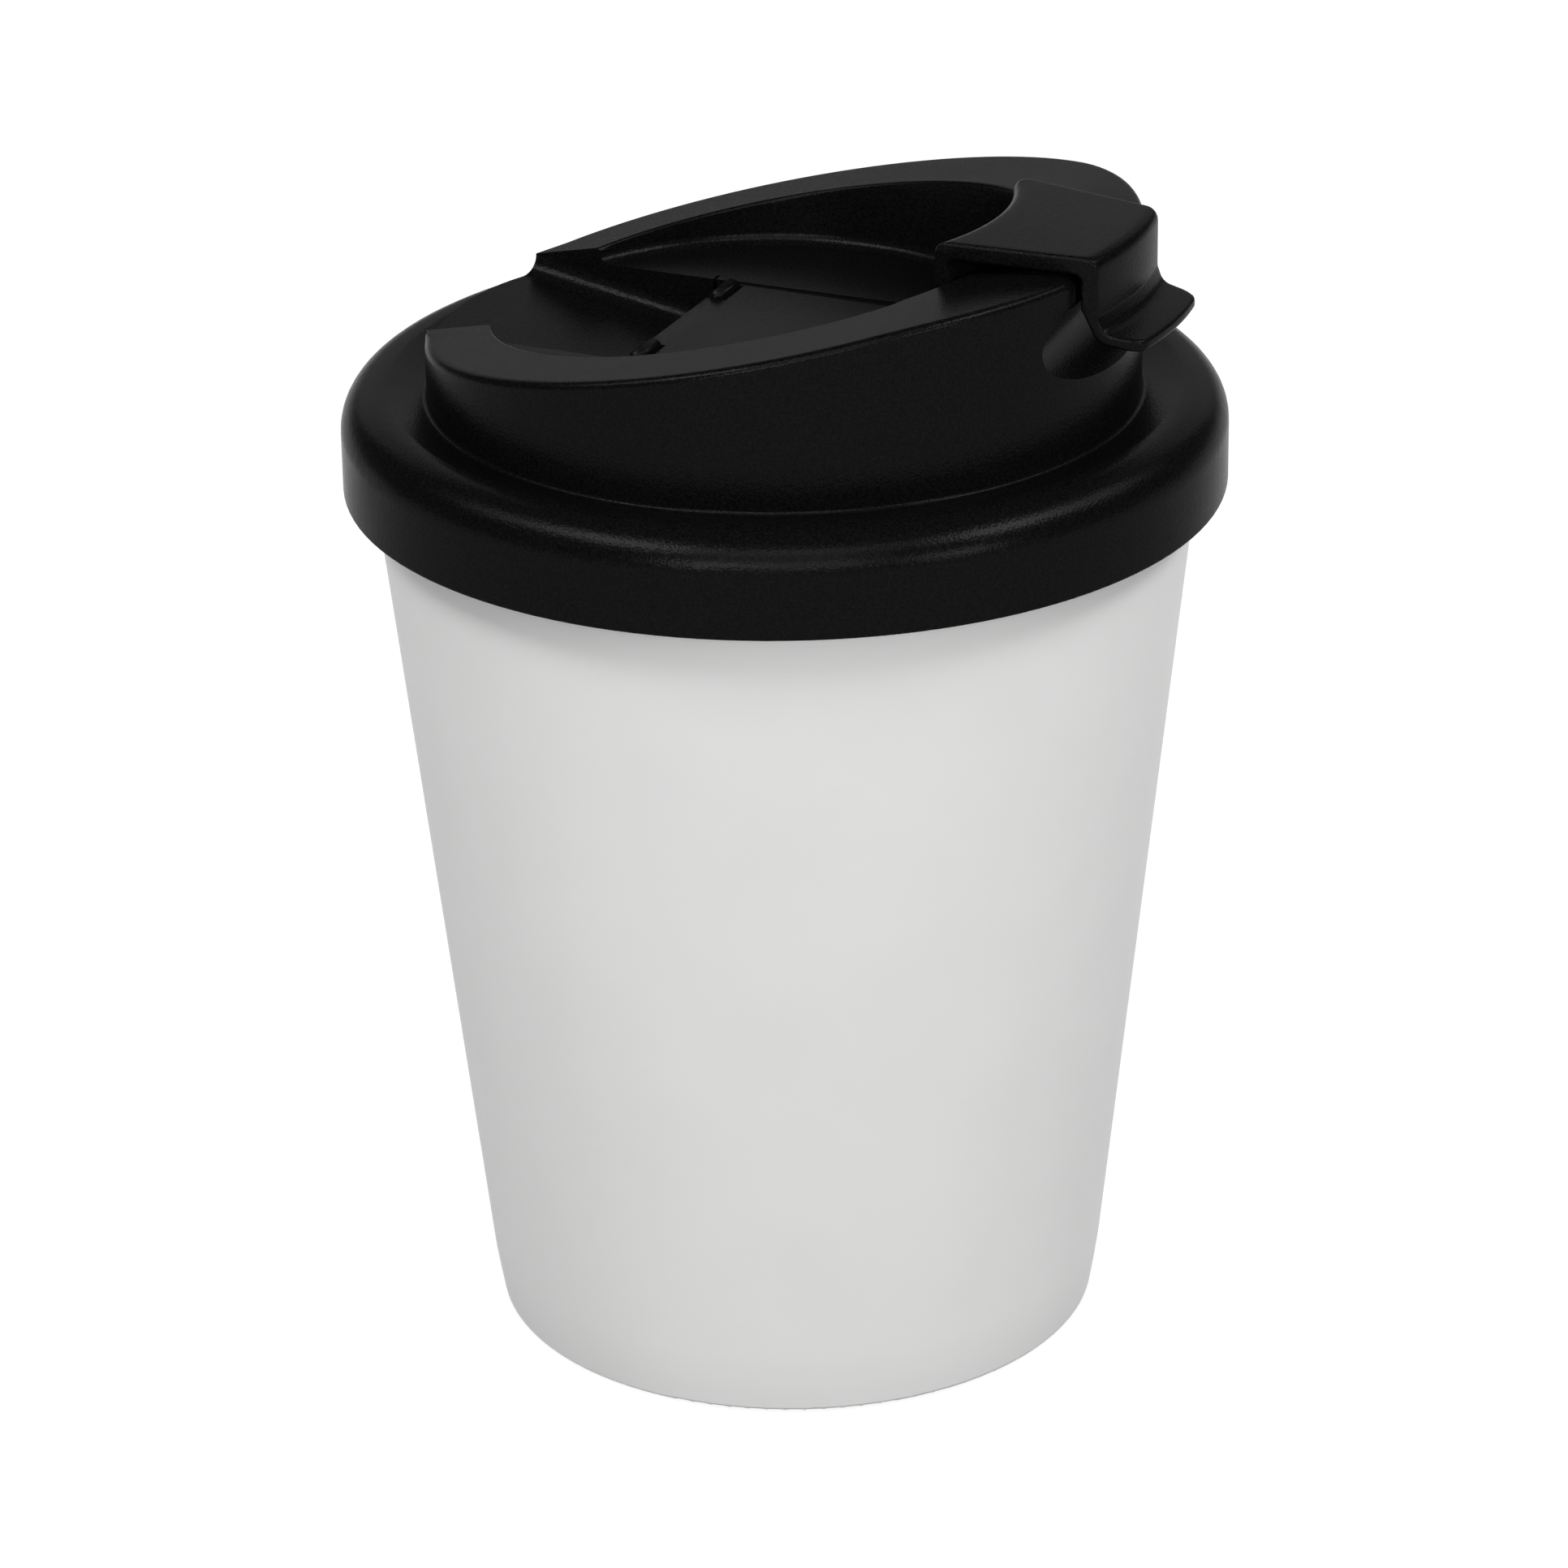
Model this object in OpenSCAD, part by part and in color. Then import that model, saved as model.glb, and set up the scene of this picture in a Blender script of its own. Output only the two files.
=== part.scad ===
// Reusable coffee tumbler: a tapered cup, a screw-on lid with a raised sloping ring,
// and a hinged flap whose hooked end clips over the ring and covers the drinking slot.
// Origin: centre of the cup's base. +Z is up, +X points to the drinking side,
// and the flap's hinge lies along Y.

/* [Cup] */
// Radius of the cup's wall carried straight down to the table
base_r = 31.8; // [26:0.1:34]
// Growth of the wall's radius for each millimetre of height
wall_taper = 0.11; // [0.06:0.005:0.14]
// Height at which the wall ends in a shoulder under the collar
shoulder_z = 92.6; // [70:0.1:130]
// Wall thickness of the cup
cup_wall = 2.2; // [1.6:0.1:3]
// Thickness of the cup's floor
cup_floor = 2.4; // [1.6:0.1:4]
// How far the wall draws in at its foot
tuck_in = 0.3; // [0.1:0.1:1]
// Height over which the wall draws in
tuck_h = 4.6; // [2:0.2:12]
// Radius of the outer corner at the base
base_round = 0.5; // [0.3:0.1:2]
// Radius of the corner inside, where the wall meets the floor
inner_round = 7; // [3:0.5:12]
// Height of the hollow under the base
foot_h = 0.9; // [0.4:0.1:2]
// Width of the foot ring that the cup stands on
foot_w = 4; // [2:0.5:8]
// Height of the neck above the shoulder
neck_h = 5.4; // [4:0.1:12]
// Step in from the shoulder to the neck
neck_step = 1; // [0.6:0.1:1.2]
// Depth of the straight bore below the shoulder
bore_drop = 2; // [1:0.5:4]

/* [Collar] */
// Gap between the cup's shoulder and the inside of the collar
collar_gap = 1; // [0.6:0.1:2]
// Wall thickness of the lid
lid_wall = 2; // [1.6:0.1:2.6]
// How far the collar hangs below the cup's shoulder
collar_drop = 0.9; // [0.2:0.1:3]
// Radius of the collar's lower outer edge
collar_lip = 0.3; // [0.2:0.1:0.8]
// Radius of the collar's upper outer edge
collar_round = 4.2; // [2:0.1:5]
// Rise of the collar's crest above the line where it meets the ring
collar_dish = 1; // [0.2:0.1:1.6]
// Width of the collar's level crest
crest_w = 0.5; // [0.3:0.1:1.5]
// Radius where the crest turns down to the ring
crest_round = 2; // [1:0.5:4]
// Thickness of the collar's top where it meets the ring
collar_top_t = 1.9; // [1.4:0.1:3]
// Thickness of the sealing gasket
gasket_t = 1.2; // [0.8:0.1:2.5]
// Width of the ring of sealing gasket
gasket_w = 3; // [2:0.1:4]
// Gap between the gasket and the skirt inside it
gasket_gap = 0.3; // [0.1:0.1:0.6]
// Height of the skirt that centres the lid in the cup's mouth
skirt_h = 4.6; // [2:0.1:8]
// Wall thickness of that skirt
skirt_t = 1.4; // [1:0.1:2]
// Gap between the skirt and the inside of the neck
skirt_gap = 0.8; // [0.4:0.1:2]

/* [Ring] */
// Distance from the collar's outer wall in to the wall of the raised ring
ring_inset = 8.8; // [6:0.1:12]
// Width of the ring's top at the drinking side
rim_w = 11.2; // [9:0.1:13]
// Height of the ring's sloping top above the collar, measured on the centre line
ring_h = 12.9; // [11:0.1:16]
// Slope of the ring's top, rising to the drinking side
ring_slope = 12; // [8:0.5:13]
// Height of the level part at the drinking side above the collar
ring_top_h = 18.7; // [17.5:0.1:21]
// Radius of the bend between the sloping and the level part
bend_r = 60; // [30:1:80]
// Distance of the pocket's centre behind the cup's centre line
pocket_back = 2.3; // [1:0.1:3]
// Growth of the pocket's radius for each millimetre of height
pocket_draft = 0.05; // [0.01:0.01:0.08]
// Height of the pocket's floor above the collar
shelf_h = 5.5; // [4.8:0.1:6.5]
// Fillet between the pocket's wall and its floor
shelf_fillet = 1.3; // [0.5:0.1:2]
// Half the width of the channel, and of the gap in the ring
channel_half = 12.7; // [11.5:0.1:14]
// Height of the channel's outer end above the collar
channel_h = 4; // [3:0.1:4.5]
// Slope of the channel's floor, falling to the hinge
channel_slope = 10; // [6:0.5:12]
// Fillet along the channel's floor
channel_fillet = 2; // [0.5:0.1:3]
// How far the well under the flap is wider than the channel on each side
well_step = 0.2; // [0.1:0.1:1]

/* [Drinking side] */
// Radius of the dip in the ring's level part
dip_r = 35; // [25:1:60]
// Depth of that dip
dip_depth = 1.1; // [0.8:0.1:1.8]
// Width of the drinking slot
slot_w = 3.4; // [2.5:0.1:3.8]
// Length of the drinking slot between its round ends' centres
slot_l = 6.8; // [4:0.2:9]
// Distance of the slot inside the ring's outer wall
slot_in = 5.8; // [5:0.1:6.5]
// Radius of the finger scoop under the tab
scoop_r = 5.5; // [4.5:0.1:5.8]
// Distance of the scoop's axis outside the ring
scoop_out = 2.8; // [2.6:0.1:4]
// Height of the scoop's axis above the collar
scoop_h = 12.3; // [11:0.1:12.6]
// Lean of the seat that the clip's leg rises past
seat_lean = 16; // [14:0.5:20]
// Depth below the level part at which that seat starts
seat_drop = 4.8; // [4:0.1:6]
// Half the width of the seat
seat_half = 9; // [8.8:0.1:11]
// Radius of the air vent under the flap
vent_r = 1; // [0.5:0.1:1.5]
// Distance of the air vent from the centre line
vent_x = 4; // [0:0.5:10]

/* [Flap] */
// Thickness of the flap's plate
plate_t = 1.7; // [1.5:0.1:2]
// Depth of the plate's top under the pocket's floor
plate_sink = 0.05; // [0.02:0.01:0.3]
// Gap round the flap's plate
plate_gap = 0.2; // [0.15:0.05:0.5]
// Gap under the flap's plate
plate_under = 0.4; // [0.2:0.05:0.6]
// Reach of the plate behind the hinge's axis
plate_back = 0.9; // [0.7:0.1:1.2]
// Distance of the hinge's axis behind the centre line
hinge_back = 10.9; // [9:0.1:12]
// Reach of the channel under the flap, past the hinge's axis
channel_past = 2.4; // [1.5:0.1:4]
// Radius of the two bars that stand on the flap's hinge edge
bar_r = 0.85; // [0.7:0.05:1]
// Height of the bars above the flap's plate
bar_proud = 0.75; // [0.4:0.05:0.8]
// Distance between the inner ends of the bars
bar_apart = 15.2; // [10:0.2:18]
// Length of each bar
bar_l = 4.1; // [3:0.1:4.2]
// Width of the sunk strip round each bar
notch_w = 0.35; // [0.2:0.05:0.5]
// Radius of the hinge pins
pin_r = 0.6; // [0.5:0.05:0.7]
// Gap round the hinge pins
pin_gap = 0.08; // [0.04:0.01:0.1]
// Reach of the hinge pins into the lid
pin_reach = 1.2; // [0.8:0.1:1.4]
// Thickness of plastic over and under the pins, in the plate
pin_cover = 0.05; // [0.03:0.01:0.15]
// Distance from the hinge's axis back to the slit in each side wall
slit_back = 2.3; // [1.8:0.1:4]
// Width of the slit
slit_w = 0.35; // [0.2:0.05:0.6]
// Depth of the slit
slit_h = 1.2; // [0.8:0.1:2]
// Reach of the slit into the side wall
slit_reach = 1.2; // [0.6:0.1:1.6]

/* [Clip] */
// Radial gap between the clip's inner leg and the pocket's wall
leg_gap = 0.4; // [0.3:0.05:0.8]
// Thickness of the clip's two legs
leg_t = 1.6; // [1.2:0.1:1.8]
// Thickness of the clip's top
clip_t = 1.85; // [1.4:0.05:2]
// Height of the clip's top over the ring's level part, at its inner edge
clip_over = 2.8; // [2.4:0.1:3.2]
// Fall of the clip's top for each millimetre outwards
clip_fall = 0.045; // [0.01:0.005:0.06]
// Gap between the ring's wall and the clip's outer leg
clip_gap = 0.15; // [0.1:0.05:0.3]
// Half the width of the clip at the inner leg
clip_half = 10.6; // [9.5:0.1:11]
// Narrowing of each side of the clip for each millimetre outwards
clip_narrow = 0.15; // [0.1:0.01:0.2]
// Radius of the clip's upper edge at each leg
clip_round = 1.3; // [0.8:0.1:1.5]
// Radius of the bends inside the clip, and of the lower edge of the inner leg
inside_round = 0.6; // [0.4:0.1:0.8]
// Height of the underside of the tab's tip above the collar
tab_h = 11.4; // [10:0.1:12]
// Reach of the tab beyond the outer leg
tab_reach = 4.2; // [3:0.1:6]
// Thickness of the tab
tab_t = 1.2; // [1:0.05:1.6]
// Fall of the tab from the leg to its tip
tab_fall = 0.7; // [0.4:0.1:1.2]
// Height over which the outer leg turns out into the tab
tab_turn = 4.2; // [3.5:0.1:5]
// Radius of that turn on its inner side
tab_bend = 1.8; // [1.2:0.1:2.4]
// Radius of the tab's corners, seen from above
tab_round = 3; // [1:0.1:4]
// Rounding of the tab's edge
tab_edge = 0.4; // [0.3:0.1:0.5]

/* [Seal] */
// Gap between the soft seal and the ring
seal_gap = 0.12; // [0.05:0.01:0.3]
// Depth of the seal's plug in the drinking slot
plug_depth = 1; // [0.5:0.1:1.2]
// Gap between the plug and the slot
plug_gap = 0.45; // [0.4:0.05:0.7]
// Width of the seal's rim round the plug
seal_rim = 1.8; // [1:0.1:2.2]

/* [Hidden] */
$fn = 96;
fine = 180;

cup_colour = "whitesmoke";
lid_colour = "dimgray";
seal_colour = "darkslategray";

// Size of a block that cuts right through, and how far a cut starts outside what it cuts
far = 200;
past = 1;
// Small roundings, and the bend between two nearly straight stretches of wall
edge_round = 0.4;
rim_round = 0.5;
tuck_bend = 60;

// Cup levels and radii
shoulder_r = base_r + wall_taper * shoulder_z;
neck_r = shoulder_r - neck_step;
rim_z = shoulder_z + neck_h;
neck_in_r = neck_r - cup_wall;
neck_bore_z = shoulder_z - bore_drop;
wall_across = cup_wall * sqrt(1 + wall_taper * wall_taper);
foot_out_r = base_r - tuck_in - base_round;
foot_in_r = foot_out_r - foot_w;

// Lid levels and radii
collar_in_r = shoulder_r + collar_gap;
collar_r = collar_in_r + lid_wall;
collar_z = shoulder_z - collar_drop;
ceiling_z = rim_z + gasket_t;
join_z = ceiling_z + collar_top_t;
crest_z = join_z + collar_dish;
skirt_out_r = neck_in_r - skirt_gap;

// Ring, pocket and channel
ring_r = collar_r - ring_inset;
pocket_r = ring_r + pocket_back - rim_w;
axis_z = join_z + ring_h;
level_z = join_z + ring_top_h;
shelf_z = join_z + shelf_h;
plate_z = shelf_z - plate_sink;
well_z = plate_z - plate_t - plate_under;
hinge_z = plate_z - plate_t + pin_r + pin_cover;
hinge_x = -hinge_back;
channel_end = hinge_x + channel_past;
dip_z = level_z - dip_depth;
slot_x = ring_r - slot_in;
scoop_x = ring_r + scoop_out;
scoop_z = join_z + scoop_h;

// Clip, measured as radius from the pocket's centre and height
leg_out = pocket_r - leg_gap;
leg_in = leg_out - leg_t;
arm_in = ring_r + pocket_back + clip_gap;
arm_out = arm_in + leg_t;
clip_z = level_z + clip_over;
clip_end_z = clip_z - clip_fall * (arm_out - leg_in);
tab_z = join_z + tab_h;
tab_end = arm_out + tab_reach;
plate_edge = 3;

function unit(v) = v / norm(v);
function turn(a, b, c) = (b[0] - a[0]) * (c[1] - b[1]) - (b[1] - a[1]) * (c[0] - b[0]);
function corner_mid(a, b, c, r) =
    let (u = unit(a - b), v = unit(c - b))
    b + unit(u + v) * r / sqrt((1 - u * v) / 2);
function corner_run(a, b, c, r) =
    let (u = unit(a - b), v = unit(c - b))
    r * sqrt((1 + u * v) / (1 - u * v));

// The sliver between a corner of an outline and its rounding, a little long at the corner
module corner_piece(a, b, c, r) {
    mid = corner_mid(a, b, c, r);
    run = corner_run(a, b, c, r);
    enter = b + unit(a - b) * run;
    leave = b + unit(c - b) * run;
    tip = b + (b - mid) / 20;
    difference() {
        polygon(turn(a, b, c) > 0 ? [mid, enter, tip, leave] : [mid, leave, tip, enter]);
        translate(mid)
            circle(r);
    }
}

// An outline listed anticlockwise, as [x, y, corner radius], with true arcs at its corners
module rounded_outline(points) {
    n = len(points);
    flat = [for (p = points) [p[0], p[1]]];
    difference() {
        union() {
            polygon(flat);
            for (i = [0:n - 1]) {
                a = flat[(i + n - 1) % n];
                b = flat[i];
                c = flat[(i + 1) % n];
                if (points[i][2] > 0 && turn(a, b, c) < 0)
                    corner_piece(a, b, c, points[i][2]);
            }
        }
        for (i = [0:n - 1]) {
            a = flat[(i + n - 1) % n];
            b = flat[i];
            c = flat[(i + 1) % n];
            if (points[i][2] > 0 && turn(a, b, c) > 0)
                corner_piece(a, b, c, points[i][2]);
        }
    }
}

// A cylinder lying along Y through a point of the XZ plane
module rod(x, z, r, l) {
    translate([x, l / 2, z])
        rotate([90, 0, 0])
            cylinder(r = r, h = l);
}

// Everything under the ring's top, its slope, bend and level part, moved by lift
module below_top(lift) {
    corner_x = (level_z + lift - axis_z - lift / cos(ring_slope)) / tan(ring_slope);
    low_x = -far / 2;
    low_z = axis_z + lift / cos(ring_slope) + low_x * tan(ring_slope);
    translate([0, far / 2, 0])
        rotate([90, 0, 0])
            linear_extrude(height = far)
                rounded_outline([
                    [low_x, low_z - far, 0],
                    [far / 2, low_z - far, 0],
                    [far / 2, level_z + lift, 0],
                    [corner_x, level_z + lift, bend_r + lift],
                    [low_x, low_z, 0]
                ]);
}

// The dip in the level part, deepened by grow
module dip_space(grow) {
    translate([0, 0, dip_z + dip_r])
        rotate([0, 90, 0])
            cylinder(r = dip_r + grow, h = far, $fn = fine);
}

// The pocket inside the ring, grown on all sides by grow
module pocket_space(grow) {
    top = far / 2;
    edge = pocket_r + grow;
    translate([-pocket_back, 0, 0])
        rotate_extrude()
            rounded_outline([
                [0, shelf_z - grow, 0],
                [edge, shelf_z - grow, shelf_fillet + grow],
                [edge + pocket_draft * top, shelf_z - grow + top, 0],
                [0, shelf_z - grow + top, 0]
            ]);
}

// The channel from the gap in the ring down to the hinge, grown by grow
module channel_space(grow) {
    half = channel_half + grow;
    start = 10;
    length = ring_r + channel_end + start;
    translate([-ring_r, 0, join_z + channel_h])
        rotate([0, channel_slope, 0])
            translate([-start / cos(channel_slope), 0, -grow])
                rotate([90, 0, 90])
                    linear_extrude(height = (length + grow) / cos(channel_slope))
                        rounded_outline([
                            [-half, 0, channel_fillet + grow],
                            [half, 0, channel_fillet + grow],
                            [half, far, 0],
                            [-half, far, 0]
                        ]);
}

// The shallow well that the flap's plate lies in, grown by grow
module well_space(grow) {
    half = channel_half + well_step + grow;
    intersection() {
        translate([hinge_x, -half, well_z - grow])
            cube([far, 2 * half, far]);
        translate([-pocket_back, 0, well_z - grow])
            cylinder(r = pocket_r + grow, h = far);
    }
}

// The finger scoop in the ring's outer wall, grown by grow
module scoop_space(grow) {
    rod(scoop_x, scoop_z, scoop_r + grow, 2 * ring_r);
}

// The leaning seat behind the clip's leg
module seat_space() {
    low = level_z - seat_drop;
    rise = seat_drop + 3;
    intersection() {
        rotate_extrude()
            polygon([
                [ring_r, low],
                [ring_r + rise, low],
                [ring_r + rise, low + rise],
                [ring_r - rise * tan(seat_lean), low + rise]
            ]);
        translate([0, -seat_half, low])
            cube([far, 2 * seat_half, rise]);
    }
}

// The collar and ring as one turned body, before the top is shaped
module lid_blank() {
    top = level_z + 5;
    rotate_extrude($fn = fine)
        rounded_outline([
            [0, collar_z, 0],
            [collar_r, collar_z, collar_lip],
            [collar_r, crest_z, collar_round],
            [collar_r - collar_round - crest_w, crest_z, crest_round],
            [ring_r, join_z, edge_round],
            [ring_r, top, 0],
            [0, top, 0]
        ]);
}

// The skirt inside the lid, a little taller than it shows so that it joins the ceiling
module skirt() {
    difference() {
        cylinder(r = skirt_out_r, h = skirt_h + past / 2);
        translate([0, 0, -past])
            cylinder(r = skirt_out_r - skirt_t, h = skirt_h + 2 * past);
    }
}

// The hollow under the lid: the collar's bore round the skirt, and the inside of the ring
module lid_hollow() {
    difference() {
        union() {
            translate([0, 0, collar_z - past])
                cylinder(r = collar_in_r, h = ceiling_z - collar_z + past, $fn = fine);
            intersection() {
                translate([0, 0, collar_z])
                    cylinder(r = ring_r - lid_wall, h = level_z - collar_z);
                below_top(-lid_wall);
            }
        }
        translate([0, 0, ceiling_z - skirt_h])
            skirt();
        dip_space(lid_wall);
        pocket_space(lid_wall);
        channel_space(lid_wall);
        well_space(lid_wall);
        scoop_space(lid_wall);
    }
}

// Plan outline of the slot, a bar with round ends
module slot_plan(w, l) {
    translate([slot_x - w / 2, -l / 2])
        square([w, l]);
    for (side = [-1, 1])
        translate([slot_x, side * l / 2])
            circle(d = w);
}

module cup() {
    inner_r = base_r + wall_taper * cup_floor - wall_across;
    bore_r = base_r + wall_taper * neck_bore_z - wall_across;
    color(cup_colour)
        rotate_extrude($fn = fine)
            rounded_outline([
                [0, foot_h, 0],
                [foot_in_r - foot_h, foot_h, 0],
                [foot_in_r, 0, 0],
                [base_r - tuck_in, 0, base_round],
                [base_r + wall_taper * tuck_h, tuck_h, tuck_bend],
                [shoulder_r, shoulder_z, edge_round],
                [neck_r, shoulder_z, edge_round],
                [neck_r, rim_z, rim_round],
                [neck_in_r, rim_z, rim_round],
                [neck_in_r, neck_bore_z, 0],
                [bore_r, neck_bore_z, 0],
                [inner_r, cup_floor, inner_round],
                [0, cup_floor, 0]
            ]);
}

module gasket() {
    color(seal_colour)
        translate([0, 0, rim_z])
            rotate_extrude()
                translate([skirt_out_r + gasket_gap, 0])
                    square([gasket_w, gasket_t]);
}

module lid() {
    slot_cut = 2 * lid_wall + past;
    slit_end = channel_half + slit_reach;
    color(lid_colour)
        difference() {
            intersection() {
                lid_blank();
                below_top(0);
            }
            dip_space(0);
            pocket_space(0);
            channel_space(0);
            well_space(0);
            scoop_space(0);
            seat_space();
            lid_hollow();
            translate([0, 0, dip_z - slot_cut])
                linear_extrude(height = 2 * slot_cut)
                    slot_plan(slot_w, slot_l);
            translate([vent_x, 0, well_z - lid_wall - past])
                cylinder(r = vent_r, h = lid_wall + 2 * past);
            rod(hinge_x, hinge_z, pin_r + pin_gap, 2 * (channel_half + pin_reach + 2 * well_step));
            translate([hinge_x - slit_back - slit_w, -slit_end, shelf_z - slit_h])
                cube([slit_w, 2 * slit_end, 2 * slit_h]);
        }
}

// Outline of the flap from the inner leg to the tab, as radius and height
module clip_profile() {
    tab_top = tab_z + tab_t;
    rounded_outline([
        [leg_in - plate_edge, plate_z - plate_t, 0],
        [leg_out, plate_z - plate_t, inside_round],
        [leg_out, clip_z - clip_t, inside_round],
        [arm_in, clip_end_z - clip_t, inside_round],
        [arm_in, tab_z + tab_turn, 1],
        [arm_in + leg_t, tab_z + tab_fall, tab_bend],
        [tab_end, tab_z, tab_edge],
        [tab_end, tab_top, tab_edge],
        [arm_out + tab_t / 2, tab_top + tab_fall, tab_bend - edge_round],
        [arm_out, tab_top + tab_fall + leg_t, tab_t],
        [arm_out, clip_end_z, clip_round],
        [leg_in, clip_z, clip_round],
        [leg_in, plate_z, 1],
        [leg_in - plate_edge, plate_z, 0]
    ]);
}

// The clip's width seen from above, narrowing outwards, with the tab's round corners
module clip_plan() {
    near = leg_in - plate_edge - past;
    near_half = clip_half - clip_narrow * (near - leg_in);
    tip_half = clip_half - clip_narrow * (tab_end - leg_in);
    translate([-pocket_back, 0])
        rounded_outline([
            [near, -near_half, 0],
            [tab_end, -tip_half, tab_round],
            [tab_end, tip_half, tab_round],
            [near, near_half, 0]
        ]);
}

// The flap's flat plate, with a sunk strip round each place where a bar stands
module plate() {
    half = channel_half + well_step - plate_gap;
    notch_h = plate_t - 2 * (pin_r + pin_cover);
    difference() {
        intersection() {
            translate([hinge_x - plate_back, -half, plate_z - plate_t])
                cube([far / 2, 2 * half, plate_t]);
            translate([-pocket_back, 0, plate_z - plate_t])
                cylinder(r = leg_out - inside_round, h = plate_t, $fn = fine);
        }
        for (side = [-1, 1])
            translate([
                hinge_x - plate_back - past,
                side * (bar_apart + bar_l) / 2 - bar_l / 2 - notch_w,
                plate_z - notch_h + pin_cover
            ])
                cube([plate_back + past + bar_r + notch_w, bar_l + 2 * notch_w, plate_t]);
    }
}

module flap() {
    pin_end = channel_half + well_step + pin_reach - plate_gap;
    color(lid_colour) {
        intersection() {
            translate([-pocket_back, 0, 0])
                rotate_extrude($fn = fine)
                    clip_profile();
            linear_extrude(height = far)
                clip_plan();
        }
        plate();
        for (side = [-1, 1])
            translate([0, side * (bar_apart + bar_l) / 2, 0])
                rod(hinge_x, plate_z + bar_proud - bar_r, bar_r, bar_l);
        rod(hinge_x, hinge_z, pin_r, 2 * pin_end);
    }
}

module drink_seal() {
    top_in = clip_z - clip_t;
    top_out = clip_end_z - clip_t;
    color(seal_colour) {
        intersection() {
            translate([0, 0, dip_z - past])
                linear_extrude(height = clip_z - dip_z)
                    slot_plan(slot_w + 2 * seal_rim, slot_l);
            translate([0, 0, dip_z + dip_r])
                rotate([0, 90, 0])
                    cylinder(r = dip_r - seal_gap, h = far, $fn = fine);
            translate([-pocket_back, 0, 0])
                rotate_extrude($fn = fine)
                    polygon([
                        [leg_out, dip_z - past],
                        [arm_in, dip_z - past],
                        [arm_in, top_out],
                        [leg_out, top_in]
                    ]);
        }
        translate([0, 0, dip_z - plug_depth])
            linear_extrude(height = plug_depth + past)
                slot_plan(slot_w - 2 * plug_gap, slot_l);
    }
}

cup();
gasket();
lid();
flap();
drink_seal();
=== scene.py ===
"""A reusable coffee tumbler with a screw-on flip lid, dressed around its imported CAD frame.

Metres, in the part's own frame: +Z up, +X to the drinking side, the flap's hinge along Y.
"""

import math

import bmesh
import bpy
from mathutils import Matrix, Vector
from mathutils.geometry import delaunay_2d_cdt


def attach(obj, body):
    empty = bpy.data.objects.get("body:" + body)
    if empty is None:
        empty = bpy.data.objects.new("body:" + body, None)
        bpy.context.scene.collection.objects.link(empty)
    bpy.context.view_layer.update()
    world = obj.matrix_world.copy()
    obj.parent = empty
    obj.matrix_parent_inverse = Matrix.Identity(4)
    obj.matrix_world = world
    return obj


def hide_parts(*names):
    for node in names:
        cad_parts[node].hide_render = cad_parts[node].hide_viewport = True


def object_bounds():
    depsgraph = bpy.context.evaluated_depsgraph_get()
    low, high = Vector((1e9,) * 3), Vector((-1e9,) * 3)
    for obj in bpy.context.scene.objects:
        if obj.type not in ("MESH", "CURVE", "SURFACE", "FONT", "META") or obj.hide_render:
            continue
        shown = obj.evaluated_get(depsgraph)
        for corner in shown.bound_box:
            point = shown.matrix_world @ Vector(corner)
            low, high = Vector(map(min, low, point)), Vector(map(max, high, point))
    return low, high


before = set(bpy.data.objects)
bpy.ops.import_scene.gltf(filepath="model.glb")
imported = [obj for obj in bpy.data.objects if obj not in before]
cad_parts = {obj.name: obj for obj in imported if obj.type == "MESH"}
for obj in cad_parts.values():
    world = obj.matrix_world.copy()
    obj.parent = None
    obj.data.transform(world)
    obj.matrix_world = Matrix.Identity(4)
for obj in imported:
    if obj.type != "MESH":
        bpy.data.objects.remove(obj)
cad_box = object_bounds()

MM = 0.001

# ---------------------------------------------------------------- camera
CAMERA_AT = (0.2399, -0.5372, 0.3186)
LOOK = Vector((-0.37349, 0.83386, -0.40642))
DOWN = Vector((0.15191, -0.37724, -0.91357))
LENS_MM = 141.91
SENSOR_MM = 36


def make_camera():
    data = bpy.data.cameras.new("camera")
    data.lens = LENS_MM
    data.sensor_width = SENSOR_MM
    data.clip_start = 0.01
    data.clip_end = 20
    camera = bpy.data.objects.new("camera", data)
    bpy.context.scene.collection.objects.link(camera)
    back = -LOOK.normalized()
    right = (-DOWN).cross(back).normalized()
    up = back.cross(right)
    turn = Matrix((right, up, back)).transposed().to_4x4()
    camera.matrix_world = Matrix.Translation(CAMERA_AT) @ turn
    bpy.context.scene.camera = camera


# ---------------------------------------------------------------- materials
# Between these two lie most of a noise's values
NOISE_LOW = 0.3
NOISE_HIGH = 0.7

# Colours between which each material's noise moves
BLACK = ((0.0014, 0.0014, 0.0015), (0.0048, 0.0048, 0.0051))
WHITE = ((0.79, 0.79, 0.785), (0.81, 0.81, 0.805))
SILICONE = ((0.05, 0.05, 0.055), (0.07, 0.07, 0.075))

# The black's weak, strongly tinted gloss keeps its highlights and holds back its grazing rims
BLACK_SPECULAR = 0.012
BLACK_SPECULAR_TINT = 4.6
WHITE_SPECULAR = 0.4


def new_material(name):
    material = bpy.data.materials.new(name)
    material.use_nodes = True
    tree = material.node_tree
    return material, tree, tree.nodes["Principled BSDF"]


def add(tree, kind, **values):
    node = tree.nodes.new(kind)
    for key, value in values.items():
        setattr(node, key, value)
    return node


def place(tree):
    """The surface's own coordinates, in millimetres."""
    coords = add(tree, "ShaderNodeTexCoord")
    scale = add(tree, "ShaderNodeVectorMath", operation="SCALE")
    scale.inputs["Scale"].default_value = 1 / MM
    tree.links.new(coords.outputs["Object"], scale.inputs[0])
    return scale.outputs[0]


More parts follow.
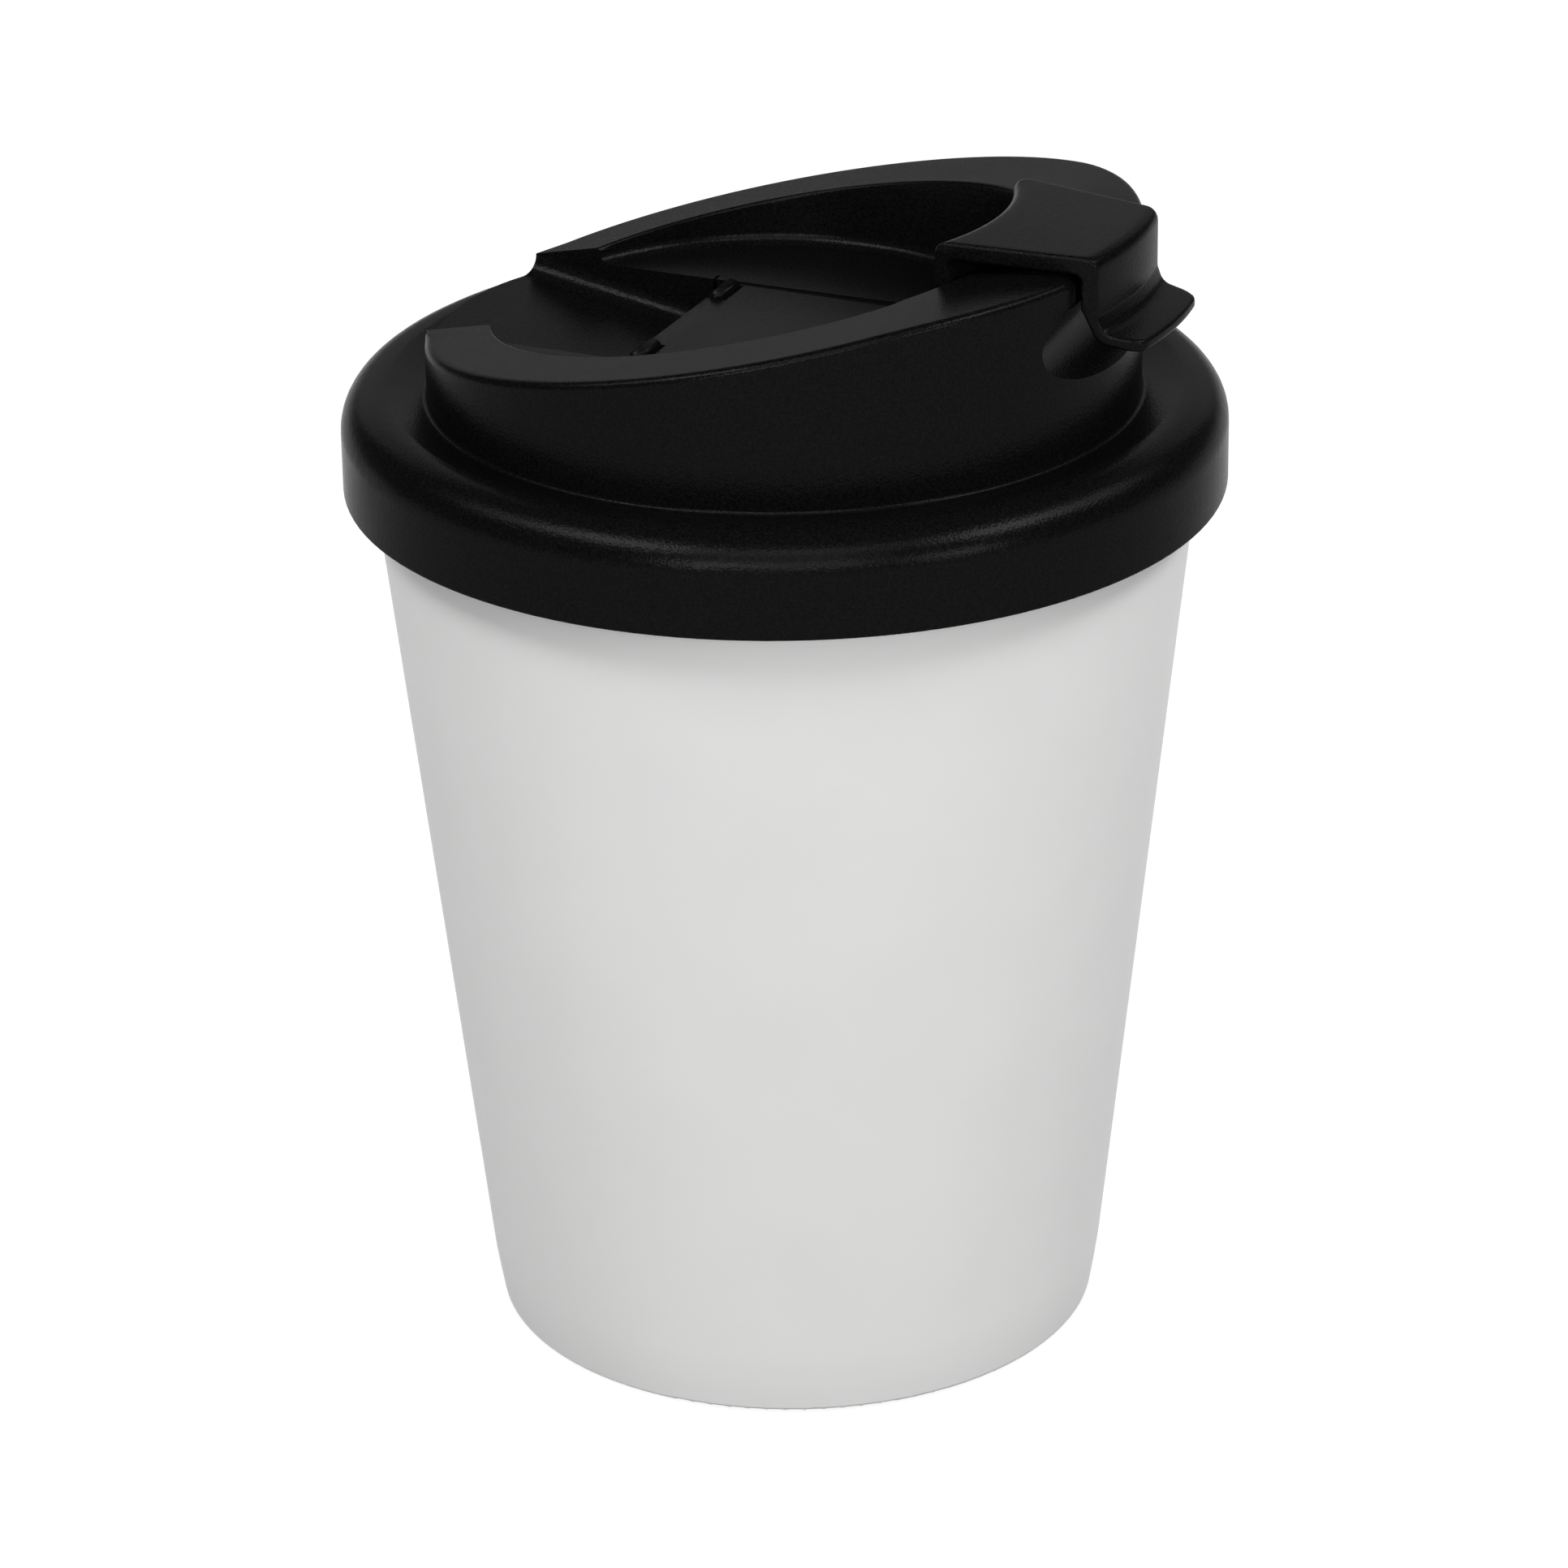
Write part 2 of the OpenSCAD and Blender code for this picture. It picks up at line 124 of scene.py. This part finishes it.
def noise(tree, where, size_mm, detail=2.0):
    node = add(tree, "ShaderNodeTexNoise")
    node.inputs["Scale"].default_value = 1 / size_mm
    node.inputs["Detail"].default_value = detail
    tree.links.new(where, node.inputs["Vector"])
    return node.outputs["Fac"]


def ranged(tree, value, low, high):
    """A noise's usual values, spread from low to high."""
    node = add(tree, "ShaderNodeMapRange")
    node.inputs["From Min"].default_value = NOISE_LOW
    node.inputs["From Max"].default_value = NOISE_HIGH
    node.inputs["To Min"].default_value = low
    node.inputs["To Max"].default_value = high
    tree.links.new(value, node.inputs["Value"])
    return node.outputs[0]


def tint(tree, value, dark, light):
    """A noise's usual values, spread between two colours."""
    ramp = add(tree, "ShaderNodeValToRGB")
    ramp.color_ramp.elements[0].position = NOISE_LOW
    ramp.color_ramp.elements[0].color = (*dark, 1)
    ramp.color_ramp.elements[1].position = NOISE_HIGH
    ramp.color_ramp.elements[1].color = (*light, 1)
    tree.links.new(value, ramp.inputs[0])
    return ramp.outputs[0]


def bumped(tree, shader, layers):
    """Bumps of (height field, depth in mm), one on another."""
    normal = None
    for field, depth_mm in layers:
        bump = add(tree, "ShaderNodeBump")
        bump.inputs["Strength"].default_value = 1.0
        bump.inputs["Distance"].default_value = depth_mm * MM
        tree.links.new(field, bump.inputs["Height"])
        if normal is not None:
            tree.links.new(normal, bump.inputs["Normal"])
        normal = bump.outputs[0]
    tree.links.new(normal, shader.inputs["Normal"])


def black_plastic():
    material, tree, shader = new_material("black_moulded_plastic")
    where = place(tree)
    grain = noise(tree, where, size_mm=0.26)
    cloud = noise(tree, where, size_mm=9.0, detail=3.0)
    tree.links.new(tint(tree, grain, *BLACK), shader.inputs["Base Color"])
    tree.links.new(ranged(tree, cloud, low=0.20, high=0.24), shader.inputs["Roughness"])
    shader.inputs["Specular IOR Level"].default_value = BLACK_SPECULAR
    shader.inputs["Specular Tint"].default_value = (*[BLACK_SPECULAR_TINT] * 3, 1)
    bumped(tree, shader, [(grain, 0.035)])
    return material


def white_plastic():
    material, tree, shader = new_material("white_moulded_plastic")
    where = place(tree)
    grain = noise(tree, where, size_mm=0.5)
    wave = noise(tree, where, size_mm=14.0)
    tree.links.new(tint(tree, wave, *WHITE), shader.inputs["Base Color"])
    tree.links.new(ranged(tree, grain, low=0.36, high=0.46), shader.inputs["Roughness"])
    shader.inputs["Specular IOR Level"].default_value = WHITE_SPECULAR
    bumped(tree, shader, [(wave, 0.02), (grain, 0.0012)])
    return material


def silicone():
    material, tree, shader = new_material("dark_silicone")
    where = place(tree)
    grain = noise(tree, where, size_mm=0.3)
    tree.links.new(tint(tree, grain, *SILICONE), shader.inputs["Base Color"])
    tree.links.new(ranged(tree, grain, low=0.55, high=0.75), shader.inputs["Roughness"])
    bumped(tree, shader, [(grain, 0.004)])
    return material


def paint(obj, material):
    obj.data.materials.clear()
    obj.data.materials.append(material)
    for face in obj.data.polygons:
        face.material_index = 0


# ---------------------------------------------------------------- mouldings with rounded edges
# Sizes of the ring, the pocket and the clip in mm, as in the part's source
RING_R = 36.186
RING_LAND_Z = 106.9
SCOOP_FROM = 30
SCOOP_TOP_Z = 118.2
POCKET_AT = -2.3
POCKET_WALL = (27.2, 28.6)
POCKET_FLOOR_Z = 107.5
LEG_IN = 25.286
LEG_OUT = 26.886
ARM_IN = 38.636
ARM_OUT = 40.236
TAB_END = 44.436
CLIP_Z = 122.6
CLIP_END_Z = 121.927
CLIP_T = 1.85
TAB_Z = 112.5
TAB_T = 1.2
TAB_FALL = 0.7
TAB_TURN = 4.2
CLIP_HALF = 10.6
CLIP_NARROW = 0.15
TAB_ROUND = 3.0

# Roundings in mm that the source doesn't have; the clip's inner one is 1.3 there
RING_ROUND = 0.8
POCKET_ROUND = 0.35
CLIP_INNER_ROUND = 1.6
CLIP_SIDE_ROUND = 0.38
CLIP_PLAN_ROUND = 1.0

# The pocket's edge is rounded from the hinge up to this x, short of the clip, in mm
POCKET_EDGE_TO = 20
# Steeper edges than this share of their length aren't rounded, and the ring's lies this near
STEEP = 0.9
ON_RING = 0.05

# The flap is cut at this height in mm, and the new clip goes on from there: its foot is sunk
# and drawn in a little, and its soft sides grow over this height
CUT_Z = 107.7
FOOT_SUNK = 0.3
FOOT_IN = 0.12
SOFT_RUN = 1.5

# Fineness of the clip: columns on each side of its middle, layers in its soft sides,
# longest stretch in mm and widest turn of its outline
CLIP_COLUMNS = 14
CLIP_LAYERS = 4
LONGEST_STRETCH = 0.8
WIDEST_TURN = math.radians(14)

# In metres, and angles of the edges that are flattened away, rounded or kept sharp
SAME_POINT = 2e-6
NEARLY_FLAT = math.radians(0.3)
LID_EDGE = math.radians(22)
FLAP_EDGE = math.radians(35)


def object_from(mesh, name):
    data = bpy.data.meshes.new(name)
    mesh.to_mesh(data)
    mesh.free()
    for face in data.polygons:
        face.use_smooth = True
    obj = bpy.data.objects.new(name, data)
    bpy.context.scene.collection.objects.link(obj)
    return obj


def even_normals(obj):
    weighted = obj.modifiers.new("even_normals", "WEIGHTED_NORMAL")
    weighted.weight = 100
    weighted.keep_sharp = True


def edge_rounding(a, b):
    """Rounding in mm of the lid's edge between points a and b, in mm, or 0."""
    middle = (a + b) / 2
    level = abs(a.z - b.z) < STEEP * (a - b).length
    if middle.x > SCOOP_FROM and middle.z < SCOOP_TOP_Z:
        return 0.0
    on_ring = all(abs(math.hypot(p.x, p.y) - RING_R) < ON_RING for p in (a, b))
    if level and on_ring and min(a.z, b.z) > RING_LAND_Z:
        return RING_ROUND
    nearest, farthest = POCKET_WALL
    on_pocket = all(nearest < math.hypot(p.x - POCKET_AT, p.y) < farthest for p in (a, b))
    if level and on_pocket and middle.z > POCKET_FLOOR_Z and middle.x < POCKET_EDGE_TO:
        return POCKET_ROUND
    return 0.0


def rounded_lid():
    """The lid's own mesh, with the edges of its ring and its pocket rounded."""
    mesh = bmesh.new()
    mesh.from_mesh(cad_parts["lid"].data)
    bmesh.ops.remove_doubles(mesh, verts=mesh.verts, dist=SAME_POINT)
    flat = [
        edge for edge in mesh.edges
        if edge.is_manifold and all(abs(face.normal.z) > 0.3 for face in edge.link_faces)
    ]
    bmesh.ops.dissolve_limit(mesh, angle_limit=NEARLY_FLAT, verts=[], edges=flat)
    weight = mesh.edges.layers.float.new("bevel_weight_edge")
    for edge in mesh.edges:
        edge.smooth = True
        if edge.is_manifold and edge.calc_face_angle() > LID_EDGE:
            width = edge_rounding(edge.verts[0].co / MM, edge.verts[1].co / MM)
            edge[weight] = width / RING_ROUND
            edge.smooth = width > 0
    obj = object_from(mesh, "lid_moulding")
    bevel = obj.modifiers.new("rounding", "BEVEL")
    bevel.width = RING_ROUND * MM
    bevel.limit_method = "WEIGHT"
    bevel.segments = 4
    bevel.use_clamp_overlap = False
    bevel.loop_slide = False
    even_normals(obj)
    return obj


def filleted(points):
    """Points (r, z, fillet radius) with the corners rounded and the long stretches divided."""
    run = []
    for i, (r, z, radius) in enumerate(points):
        here = Vector((r, z))
        if radius == 0:
            run.append(here)
            continue
        before = (Vector(points[i - 1][:2]) - here).normalized()
        after = (Vector(points[i + 1][:2]) - here).normalized()
        half = before.angle(after) / 2
        centre = here + (before + after).normalized() * radius / math.sin(half)
        first = here + before * radius / math.tan(half) - centre
        last = here + after * radius / math.tan(half) - centre
        parts = max(3, math.ceil(first.angle(last) / WIDEST_TURN))
        turn = first.angle_signed(last)
        for part in range(parts + 1):
            run.append(centre + Matrix.Rotation(-turn * part / parts, 2) @ first)
    full = [run[0]]
    for a, b in zip(run, run[1:]):
        pieces = max(1, math.ceil((b - a).length / LONGEST_STRETCH))
        full += [a.lerp(b, part / pieces) for part in range(1, pieces + 1)]
    return full


def side_of_plan(x):
    """Half the clip's width at a distance x from the pocket's centre."""
    corner = TAB_END - TAB_ROUND
    lean = math.hypot(1, CLIP_NARROW)
    if x < corner + TAB_ROUND * CLIP_NARROW / lean:
        return CLIP_HALF - CLIP_NARROW * (x - LEG_IN)
    middle = CLIP_HALF - CLIP_NARROW * (corner - LEG_IN) - TAB_ROUND * lean
    return middle + math.sqrt(max(0.0, TAB_ROUND ** 2 - (x - corner) ** 2))


def half_width(r):
    """Half the clip's width along the arc of radius r, as a distance from the centre plane."""
    low, high = 0.0, math.radians(60)
    for _ in range(40):
        middle = (low + high) / 2
        if r * math.sin(middle) < side_of_plan(r * math.cos(middle)):
            low = middle
        else:
            high = middle
    return r * math.sin(low)


def clip_mesh(mesh):
    """The hooked clip: an outline turned about the pocket's centre, with soft sides."""
    outline = filleted([
        (LEG_OUT, CUT_Z, 0),
        (LEG_OUT, CLIP_Z - CLIP_T, 0.6),
        (ARM_IN, CLIP_END_Z - CLIP_T, 0.6),
        (ARM_IN, TAB_Z + TAB_TURN, 1.0),
        (ARM_OUT, TAB_Z + TAB_FALL, 1.8),
        (TAB_END, TAB_Z, 0.42),
        (TAB_END, TAB_Z + TAB_T, 0.42),
        (ARM_OUT + 0.6, TAB_Z + TAB_FALL + TAB_T, 1.4),
        (ARM_OUT, TAB_Z + 3.5, 1.2),
        (ARM_OUT, CLIP_END_Z, 1.3),
        (LEG_IN, CLIP_Z, CLIP_INNER_ROUND),
        (LEG_IN, CUT_Z, 0),
    ])
    foot = (LEG_IN + FOOT_IN, LEG_OUT - FOOT_IN)
    count = len(outline)
    inward = []
    for i in range(count):
        ahead = outline[min(i + 1, count - 1)] - outline[i]
        behind = outline[i] - outline[max(i - 1, 0)]
        along = (ahead.normalized() if ahead.length else behind.normalized()) + behind.normalized()
        inward.append(Vector((-along.y, along.x)).normalized())

    def soft(z):
        """0 at the cut, where the clip meets the flap's own leg, and 1 from SOFT_RUN up."""
        return min(1.0, max(0.0, (z - CUT_Z) / SOFT_RUN))

    def loop(across, inset, side_gap):
        """One turn of points round the outline, at a share of the half width, inset from it."""
        points = []
        for point, normal in zip(outline, inward):
            much = soft(point.y)
            r, z = point + normal * inset * much
            near = max(0.0, CLIP_PLAN_ROUND - max(0.0, r - LEG_IN))
            cut = (CLIP_PLAN_ROUND - math.sqrt(CLIP_PLAN_ROUND ** 2 - near ** 2)) * much
            reach = half_width(r) - cut - side_gap * much
            angle = math.asin(reach / r) * across
            points.append((r * math.cos(angle), r * math.sin(angle), z))
        for r in foot:
            angle = math.asin((half_width(r) - FOOT_IN) / r) * across
            points.append((r * math.cos(angle), r * math.sin(angle), CUT_Z - FOOT_SUNK))
        return [mesh.verts.new(((x + POCKET_AT) * MM, y * MM, z * MM)) for x, y, z in points]

    def soft_loop(side, layer):
        """One turn of points in the quarter round of a side, from its middle to its end."""
        turn = math.pi / 2 * layer / CLIP_LAYERS
        inset = CLIP_SIDE_ROUND * (1 - math.cos(turn))
        return loop(side, inset, CLIP_SIDE_ROUND * (1 - math.sin(turn)))

    loops = [soft_loop(-1, layer) for layer in range(CLIP_LAYERS, 0, -1)]
    for column in range(-CLIP_COLUMNS, CLIP_COLUMNS + 1):
        loops.append(loop(column / CLIP_COLUMNS, 0, CLIP_SIDE_ROUND))
    loops += [soft_loop(1, layer) for layer in range(1, CLIP_LAYERS + 1)]
    faces = []
    for a, b in zip(loops, loops[1:]):
        for i in range(len(a)):
            j = (i + 1) % len(a)
            faces.append(mesh.faces.new((a[i], a[j], b[j], b[i])))
    cap = [
        point + normal * CLIP_SIDE_ROUND * soft(point.y) for point, normal in zip(outline, inward)
    ]
    cap += [Vector((r, CUT_Z - FOOT_SUNK)) for r in foot]
    for triangle in delaunay_2d_cdt(cap, [], [list(range(len(cap)))], 1, 1e-6)[2]:
        for end in (loops[0], loops[-1]):
            faces.append(mesh.faces.new([end[i] for i in triangle]))
    bmesh.ops.recalc_face_normals(mesh, faces=faces)


def rounded_flap():
    """The flap's own plate, leg foot, bars and pins, under a clip with rounded sides."""
    mesh = bmesh.new()
    mesh.from_mesh(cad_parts["flap"].data)
    bmesh.ops.remove_doubles(mesh, verts=mesh.verts, dist=SAME_POINT)
    bmesh.ops.bisect_plane(
        mesh, geom=mesh.verts[:] + mesh.edges[:] + mesh.faces[:],
        plane_co=(0, 0, CUT_Z * MM), plane_no=(0, 0, 1), clear_outer=True,
    )
    clip_mesh(mesh)
    obj = object_from(mesh, "flap_moulding")
    obj.data.set_sharp_from_angle(angle=FLAP_EDGE)
    even_normals(obj)
    return obj


# ---------------------------------------------------------------- thread
PITCH = 4 * MM
# Half the ridge's height at its root and at its tip, and the rounding of its edges
ROOT_HALF = 0.9 * MM
TIP_HALF = 0.45 * MM
RIDGE_ROUND = 0.15 * MM
RIDGE_STEPS = 144
# Share of the ridge's length over which it runs out at each end, and what is left of it there
RUN_OUT = 0.06
LEAST_RIDGE = 0.02


def helix(name, root_r, tip_r, start_z, turns):
    """A screw ridge between two radii, from start_z up, that runs out at both ends."""
    mesh = bmesh.new()
    rows = []
    for step in range(RIDGE_STEPS + 1):
        t = step / RIDGE_STEPS
        angle = turns * 2 * math.pi * t
        z = start_z + PITCH * turns * t
        full = max(LEAST_RIDGE, min(1.0, min(t, 1 - t) / RUN_OUT))
        tip = root_r + (tip_r - root_r) * full
        section = (root_r, -ROOT_HALF), (tip, -TIP_HALF), (tip, TIP_HALF), (root_r, ROOT_HALF)
        ring = []
        for r, dz in section:
            ring.append(mesh.verts.new((r * math.cos(angle), r * math.sin(angle), z + dz)))
        rows.append(ring)
    for a, b in zip(rows, rows[1:]):
        for i in range(4):
            j = (i + 1) % 4
            mesh.faces.new((a[i], a[j], b[j], b[i]))
    mesh.faces.new(rows[0][::-1])
    mesh.faces.new(rows[-1])
    bmesh.ops.recalc_face_normals(mesh, faces=mesh.faces)
    obj = object_from(mesh, name)
    bevel = obj.modifiers.new("soft_edges", "BEVEL")
    bevel.width = RIDGE_ROUND
    bevel.segments = 2
    bevel.limit_method = "ANGLE"
    return obj


# ---------------------------------------------------------------- studio
FLOOR_GREY = 0.15
FLOOR_GLOW = 0.88
FLOOR_RADIUS = 4.0
FLOOR_BELOW = 0.0002
SWEEP_LIGHT = 0.2
CEILING_LIGHT = 0.06
# The world's light falls from the sweep's to the ceiling's between these heights
SWEEP_TO = 0.05
CEILING_FROM = 0.3
# Name, azimuth and elevation in degrees, distance, width and height in metres, watts
LAMPS = [
    ("left_softbox", -121, 51, 0.9, 0.50, 0.20, 3.65),
    ("right_softbox", 4, 46, 0.9, 0.42, 0.20, 3.05),
    ("left_side", -157, 42, 0.9, 0.34, 0.20, 0.75),
    ("right_side", 37, 38, 0.9, 0.34, 0.20, 0.8),
    ("top_softbox", -60, 53, 0.9, 0.50, 0.14, 1.1),
    ("low_left", -84, 16, 0.9, 0.34, 0.14, 1.5),
    ("low_middle", -56, 18, 0.9, 0.28, 0.14, 0.65),
    ("low_right", -24, 13, 0.9, 0.28, 0.14, 1.3),
    ("front_fill", -68, 28, 1.3, 1.0, 1.0, 4.75),
    ("back_panel", 112, 25, 1.5, 2.0, 0.9, 4.2),
    ("back_fill", 112, 30, 1.2, 0.8, 0.6, 6.0),
]
LAMP_AIM = Vector((0, 0, 0.11))
# Lights the back of the white cup, and puts no highlight on the black lid
NO_HIGHLIGHT = "back_fill"


def seen_plainly(tree):
    """1 for camera, glossy and transmission rays, and 0 for the rays that light the object."""
    path = add(tree, "ShaderNodeLightPath")
    value = path.outputs["Is Camera Ray"]
    for other in ("Is Glossy Ray", "Is Transmission Ray"):
        most = add(tree, "ShaderNodeMath", operation="MAXIMUM")
        tree.links.new(value, most.inputs[0])
        tree.links.new(path.outputs[other], most.inputs[1])
        value = most.outputs[0]
    return value


def make_floor():
    material, tree, shader = new_material("studio_floor")
    shader.inputs["Base Color"].default_value = (FLOOR_GREY, FLOOR_GREY, FLOOR_GREY, 1)
    shader.inputs["Roughness"].default_value = 0.9
    shader.inputs["Specular IOR Level"].default_value = 0.0
    level = add(tree, "ShaderNodeMath", operation="MULTIPLY")
    level.inputs[1].default_value = FLOOR_GLOW
    tree.links.new(seen_plainly(tree), level.inputs[0])
    tree.links.new(level.outputs[0], shader.inputs["Emission Strength"])
    shader.inputs["Emission Color"].default_value = (1, 1, 1, 1)
    mesh = bmesh.new()
    bmesh.ops.create_circle(mesh, cap_ends=True, segments=96, radius=FLOOR_RADIUS)
    data = bpy.data.meshes.new("floor")
    mesh.to_mesh(data)
    mesh.free()
    floor = bpy.data.objects.new("floor", data)
    floor.location.z = cad_box[0][2] - FLOOR_BELOW
    bpy.context.scene.collection.objects.link(floor)
    data.materials.append(material)


def make_world():
    """A white sweep round the horizon under a greyer ceiling."""
    world = bpy.data.worlds.new("studio")
    bpy.context.scene.world = world
    world.use_nodes = True
    tree = world.node_tree
    background = tree.nodes["Background"]
    background.inputs["Color"].default_value = (1, 1, 1, 1)
    coords = add(tree, "ShaderNodeTexCoord")
    split = add(tree, "ShaderNodeSeparateXYZ")
    tree.links.new(coords.outputs["Generated"], split.inputs[0])
    level = add(tree, "ShaderNodeMapRange")
    tree.links.new(split.outputs["Z"], level.inputs["Value"])
    level.inputs["From Min"].default_value = SWEEP_TO
    level.inputs["From Max"].default_value = CEILING_FROM
    level.inputs["To Min"].default_value = SWEEP_LIGHT
    level.inputs["To Max"].default_value = CEILING_LIGHT
    tree.links.new(level.outputs[0], background.inputs["Strength"])


def add_lamp(name, azimuth, elevation, distance, width, height, watts):
    data = bpy.data.lights.new(name, "AREA")
    data.shape = "RECTANGLE"
    data.size = width
    data.size_y = height
    data.energy = watts
    lamp = bpy.data.objects.new(name, data)
    around, up = math.radians(azimuth), math.radians(elevation)
    away = Vector((math.cos(up) * math.cos(around), math.cos(up) * math.sin(around), math.sin(up)))
    lamp.location = LAMP_AIM + away * distance
    lamp.rotation_euler = (-away).to_track_quat("-Z", "Y").to_euler()
    lamp.visible_glossy = name != NO_HIGHLIGHT
    bpy.context.scene.collection.objects.link(lamp)


def make_studio():
    bpy.context.scene.view_settings.view_transform = "Standard"
    make_world()
    make_floor()
    for lamp in LAMPS:
        add_lamp(*lamp)


make_camera()
black = black_plastic()
white = white_plastic()
rubber = silicone()
for node, material in (
    ("cup", white), ("lid", black), ("flap", black), ("gasket", rubber), ("drink_seal", rubber)
):
    paint(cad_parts[node], material)

for piece, node in ((rounded_lid(), "lid"), (rounded_flap(), "flap")):
    paint(piece, black)
    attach(piece, node + "_body")
    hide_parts(node)

cup_thread = helix(
    "cup_thread", root_r=40.9 * MM, tip_r=42.2 * MM, start_z=93.7 * MM, turns=0.85
)
cup_thread.data.materials.append(white)
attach(cup_thread, "cup_body")
lid_thread = helix(
    "lid_thread", root_r=43.1 * MM, tip_r=41.8 * MM, start_z=95.7 * MM, turns=0.75
)
lid_thread.data.materials.append(black)
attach(lid_thread, "lid_body")

make_studio()
